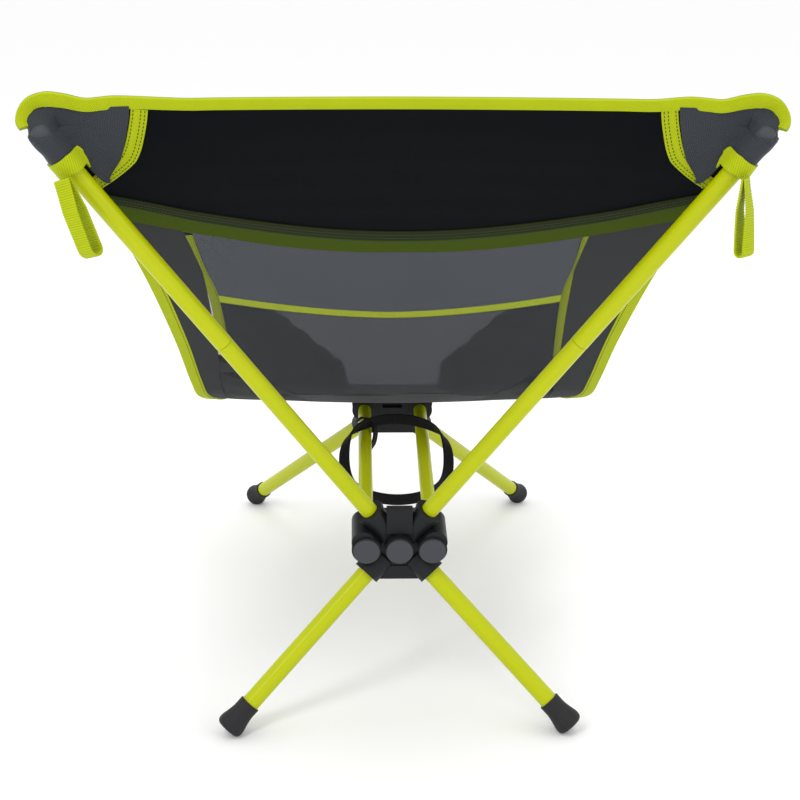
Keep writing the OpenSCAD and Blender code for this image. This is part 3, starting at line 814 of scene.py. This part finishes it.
for sgn, side in SIDES:
    rows = np.linspace(0.006, 0.104, 34)
    g = hood_grid(sgn, REAR_TIP, REAR_ROOT, REAR, rows, w_tape,
                  lambda s: 1.012 - 0.1 * max(0, 0.02 - s),
                  lambda s: np.interp(s, [0, .02, .1], [10, 11.5, 12]),
                  lambda s: np.interp(s, [0, 0.012, .03, .1], [6.5, 8.6, 9.3, 9.3]),
                  lambda s: np.interp(s, [0, 0.03], [-2, 0]))
    uu = np.linspace(0, 1, g.shape[1])
    mouth = np.interp(uu, [0, .15, .3, .4, .6, .8, 1], [.101, .090, .073, .060, .061, .072, .081])
    g = cut_rows(g, rows, mouth)
    n = hood("hood_rear_" + side, g, sgn, "pocket", 0.8, slot="grey_cloth",
             replaces=["pocket_rear_" + side])
    # the mouth band over the last rows, from the crease to the outer edge
    k = slice(25, 34)
    c0 = 12
    gb = g[k, c0:] + n[k, c0:] * 0.9
    slab("hood_band_" + side, gb, gb + n[k, c0:] * 1.3, "web", slot="lime_webbing",
         replaces=["pocket_band_" + side])
    # double stitching along the crease
    st = [g[1:24, c] + n[1:24, c] * 0.8 for c in (11, 12)]
    stitches("hood_crease_" + side, st, [n[1:24, c] for c in (11, 12)], "thread_grey", 3.2, 0.7, 0.26,
             slot="grey_cloth")
    # inner tape with two stitch rows
    ts = np.linspace(0.012, 0.103, 60)
    wt = np.array([w_tape(x) for x in ts]) - 0.026 + 0.05 * np.clip((ts - 0.05) / 0.05, 0, 1) ** 2
    pts = P(ts, wt, 1.1)
    nn = N(ts, wt)
    tg = unit(np.gradient(pts, axis=0))
    sd = np.cross(tg, nn)
    mir = np.array([sgn, 1, 1])
    ribbon("hood_tape_" + side, pts * mir, sd * mir, 11.5, 1.5, "tape", slot="lime_webbing",
           replaces=["pocket_tape_rear_" + side])
    stitches("hood_tape_stitches_" + side, [(pts + sd * q + nn * 0.75) * mir for q in (-3.9, -1.2, 3.9)],
             [nn * mir] * 3, "thread_dark", 2.8, slot="lime_webbing")
    rows = np.linspace(0.992, 0.902, 22)
    g = hood_grid(sgn, FRONT_TIP, FRONT_ROOT, FRONT, rows, lambda s: 0.64 + 0.06 * (s - 0.9) / 0.09,
                  lambda s: 1.005, lambda s: 11.0,
                  lambda s: np.interp(s, [.9, .97, .995], [8.6, 8.4, 5.5]),
                  lambda s: np.interp(s, [.975, .995], [0, -3]))
    hood("hood_front_" + side, g, sgn, "pocket", 0.8, slot="grey_cloth", replaces=["pocket_front_" + side])


# ---------------------------------------------------------------- pull loops
def pull_loop(side, top, lean, turn_top, turn_end, gap, length):
    """Webbing loop hanging from top; its face turns from turn_top to turn_end on the way down."""
    r = gap / 2
    a = np.linspace(0, math.pi, 25)
    y = np.linspace(0, -(length - r), 70)
    half = r * np.interp(-y, [0, 6, 22, length], [0.22, 0.42, 1.0, 1.0])
    left = np.stack([-half, y], -1)
    bottom = np.stack([-r * np.cos(a), -(length - r) - r * np.sin(a)], -1)[1:-1]
    right = left[::-1] * [-1, 1]
    prof, _ = along(np.concatenate([left, bottom, right]), 0.33)
    f = np.clip(-prof[:, 1] / length, 0, 1)
    turn = turn_top + (turn_end - turn_top) * f * f * (3 - 2 * f)
    down = unit(np.array([math.sin(lean), 0.0, math.cos(lean)]))
    across = np.stack([np.sin(turn), np.cos(turn), 0 * turn], -1)
    wide = np.stack([np.cos(turn), -np.sin(turn), 0 * turn], -1)
    wide = unit(wide - down * (wide @ down)[:, None])
    p = np.array(top) + across * prof[:, :1] + down * prof[:, 1:]
    ribbon("loop_" + side, p, wide, 12.2, 1.5, "web", rib=0.22, pitch=2.1, body="pull_loop_" + side,
           slot="lime_webbing", replaces=["pull_loop_" + side])


pull_loop("left", (226.5, 295.6, 448.5), 0.33, 0.35, 0.55, 11.0, 54.0)
pull_loop("right", (-226.5, 294.8, 450.0), 0.05, -1.1, -0.66, 7.0, 53.0)


# ---------------------------------------------------------------- rubber feet
def foot(end, side, root, tip):
    """Collar widening to a domed end, with shallow flutes, cut flat where it stands on the floor."""
    sgn = 1 if side == "left" else -1
    root, tip = (np.array(p) * [sgn, 1, 1] for p in (root, tip))
    u = unit(tip - root)
    prof = [(7.3, 0), (8.4, 0), (8.6, 0.4), (8.6, 2), (8.6, 8), (9.1, 12), (9.9, 16), (10.6, 19), (10.9, 21)]
    prof += [(6.9 + 4.0 * math.cos(a), 22.8 + 4.1 * math.sin(a)) for a in np.linspace(0.05, math.pi / 2, 9)]
    prof = smooth_line([(r, h, 0) for r, h in prof], 0.5)[0][:, :2]
    prof = np.concatenate([prof, [[3.0, prof[-1, 1]], [0.3, prof[-1, 1]]]])
    th = np.linspace(0, 2 * math.pi, 96, endpoint=False)
    e1 = unit(np.cross(u, [0, 1, 0]))
    e2 = np.cross(u, e1)
    r, h = prof[:, :1], prof[:, 1:]
    dip = 0.45 * np.clip(np.cos(8 * th), 0, 1)[None, :] ** 3 * np.exp(-((h - 18.5) / 4.5) ** 4) * (r > 8)
    rr = r - dip
    v = tip - u * 27 + u * h[:, :, None]
    v = v + (rr * np.cos(th))[..., None] * e1 + (rr * np.sin(th))[..., None] * e2
    v[..., 2] = np.maximum(v[..., 2], 0.0)
    n, m = v.shape[:2]
    i, j = np.meshgrid(np.arange(n - 1), np.arange(m), indexing="ij")
    a, b = i * m + j, i * m + (j + 1) % m
    faces = np.stack([a, a + m, b + m, b], -1).reshape(-1, 4).tolist()
    faces += [list(range(m)), [(n - 1) * m + k for k in range(m)][::-1]]
    uv = np.stack(np.broadcast_arrays(th[None, :] * 9, h), -1).reshape(-1, 2) * MM
    make("foot_" + end + "_" + side, v.reshape(-1, 3), faces, "rubber", uvs=uv,
         body=end + "_leg_assembly_" + side, slot="rubber", replaces=[end + "_foot_" + side])


for side in ("left", "right"):
    foot("rear", side, hub_point(32, 7, -32), [136, RY + 37, 6])
    foot("front", side, hub_point(32, HUB_SPAN - 7, -32), [147, RY - 477, 7])

# ---------------------------------------------------------------- keeper strap
a = np.linspace(0, 2 * math.pi, 240, endpoint=False)
# the loop lies over the tubes towards the front and under them towards the rear
rise = [11.7 * math.sin(math.pi / 2 * max(-1, min(1, 1.7 * math.cos(x)))) for x in a]
hoop = np.array([hub_point(46 * math.sin(x) - 1.5, 160.5 + 55.5 * math.cos(x), h) for x, h in zip(a, rise)])
lean = np.abs(np.sin(a))[:, None] ** 3 * 0.62
outward = np.stack([np.sin(a), -0.6 * np.cos(a), 0 * a], -1)
side_way = np.array([0, SA, CA]) * (1 - lean) - outward * lean
ribbon("strap_loop", hoop, side_way, 10.4, 1.5, "strap", closed=True, body="strap", slot="black_webbing",
       replaces=["keeper_strap"])
tail, _ = smooth_line([hub_point(33, 210, 13.5), hub_point(27, 213, 14), hub_point(19, 211, 11),
                       hub_point(16.5, 205, 4), hub_point(18, 200, -4), hub_point(21.5, 197, -9)], 1.0)
ribbon("strap_tail", tail, [0.45, 0.85, 0.25], 8.6, 1.3, "strap", body="strap", slot="black_webbing")

# ---------------------------------------------------------------- floor, light, camera
HALF = 40                        # half the floor's side, m
me = bpy.data.meshes.new("floor")
me.from_pydata([(-HALF, -HALF, 0), (HALF, -HALF, 0), (HALF, HALF, 0), (-HALF, HALF, 0)], [], [(0, 1, 2, 3)])
floor = bpy.data.objects.new("floor", me)
bpy.context.scene.collection.objects.link(floor)
pale = bpy.data.materials.new("pale_floor")
pale.use_nodes = True
pale.node_tree.nodes["Principled BSDF"].inputs["Base Color"].default_value = (0.93, 0.93, 0.93, 1)
pale.node_tree.nodes["Principled BSDF"].inputs["Roughness"].default_value = 0.9
me.materials.append(pale)

world = bpy.data.worlds.new("studio")
bpy.context.scene.world = world
world.use_nodes = True
world.node_tree.nodes["Background"].inputs["Color"].default_value = (1, 1, 1, 1)
world.node_tree.nodes["Background"].inputs["Strength"].default_value = 1.05


def area(name, pos, target, size, power):
    """Soft light at pos that faces target; size in metres, power in watts."""
    d = bpy.data.lights.new(name, "AREA")
    d.shape = "RECTANGLE"
    d.size = size[0]
    d.size_y = size[1]
    d.energy = power
    o = bpy.data.objects.new(name, d)
    bpy.context.scene.collection.objects.link(o)
    o.location = pos
    o.rotation_euler = (Vector(target) - Vector(pos)).to_track_quat("-Z", "Y").to_euler()


area("key", (0.9, 1.5, 1.9), (0, 0.1, 0.3), (0.22, 1.4), 13)
area("top", (-0.2, -0.3, 2.4), (0, 0, 0.3), (1.6, 1.6), 16)
area("fill", (-1.6, 1.1, 1.0), (0, 0.1, 0.3), (1.2, 1.2), 4)

# the photograph's viewing angle
LENS = 68.1921                   # mm, for a sensor 36 mm wide
EYE = (0.0328, 1.2973 + SHIFT * MM, 0.6057)
yaw, pitch, roll = (math.radians(x) for x in (1.688, 17.174, -0.304))
fwd = Vector((-math.sin(yaw) * math.cos(pitch), -math.cos(yaw) * math.cos(pitch), -math.sin(pitch)))
right = Vector((-math.cos(yaw), math.sin(yaw), 0))
down = fwd.cross(right)
r2 = right * math.cos(roll) + down * math.sin(roll)
d2 = fwd.cross(r2)
cam = bpy.data.cameras.new("camera")
cam.sensor_width = 36
cam.lens = LENS
cam.clip_end = 200
co = bpy.data.objects.new("camera", cam)
bpy.context.scene.collection.objects.link(co)
co.matrix_world = Matrix(((r2.x, -d2.x, -fwd.x, EYE[0]), (r2.y, -d2.y, -fwd.y, EYE[1]),
                          (r2.z, -d2.z, -fwd.z, EYE[2]), (0, 0, 0, 1)))
bpy.context.scene.camera = co
bpy.context.scene.view_settings.view_transform = "Standard"
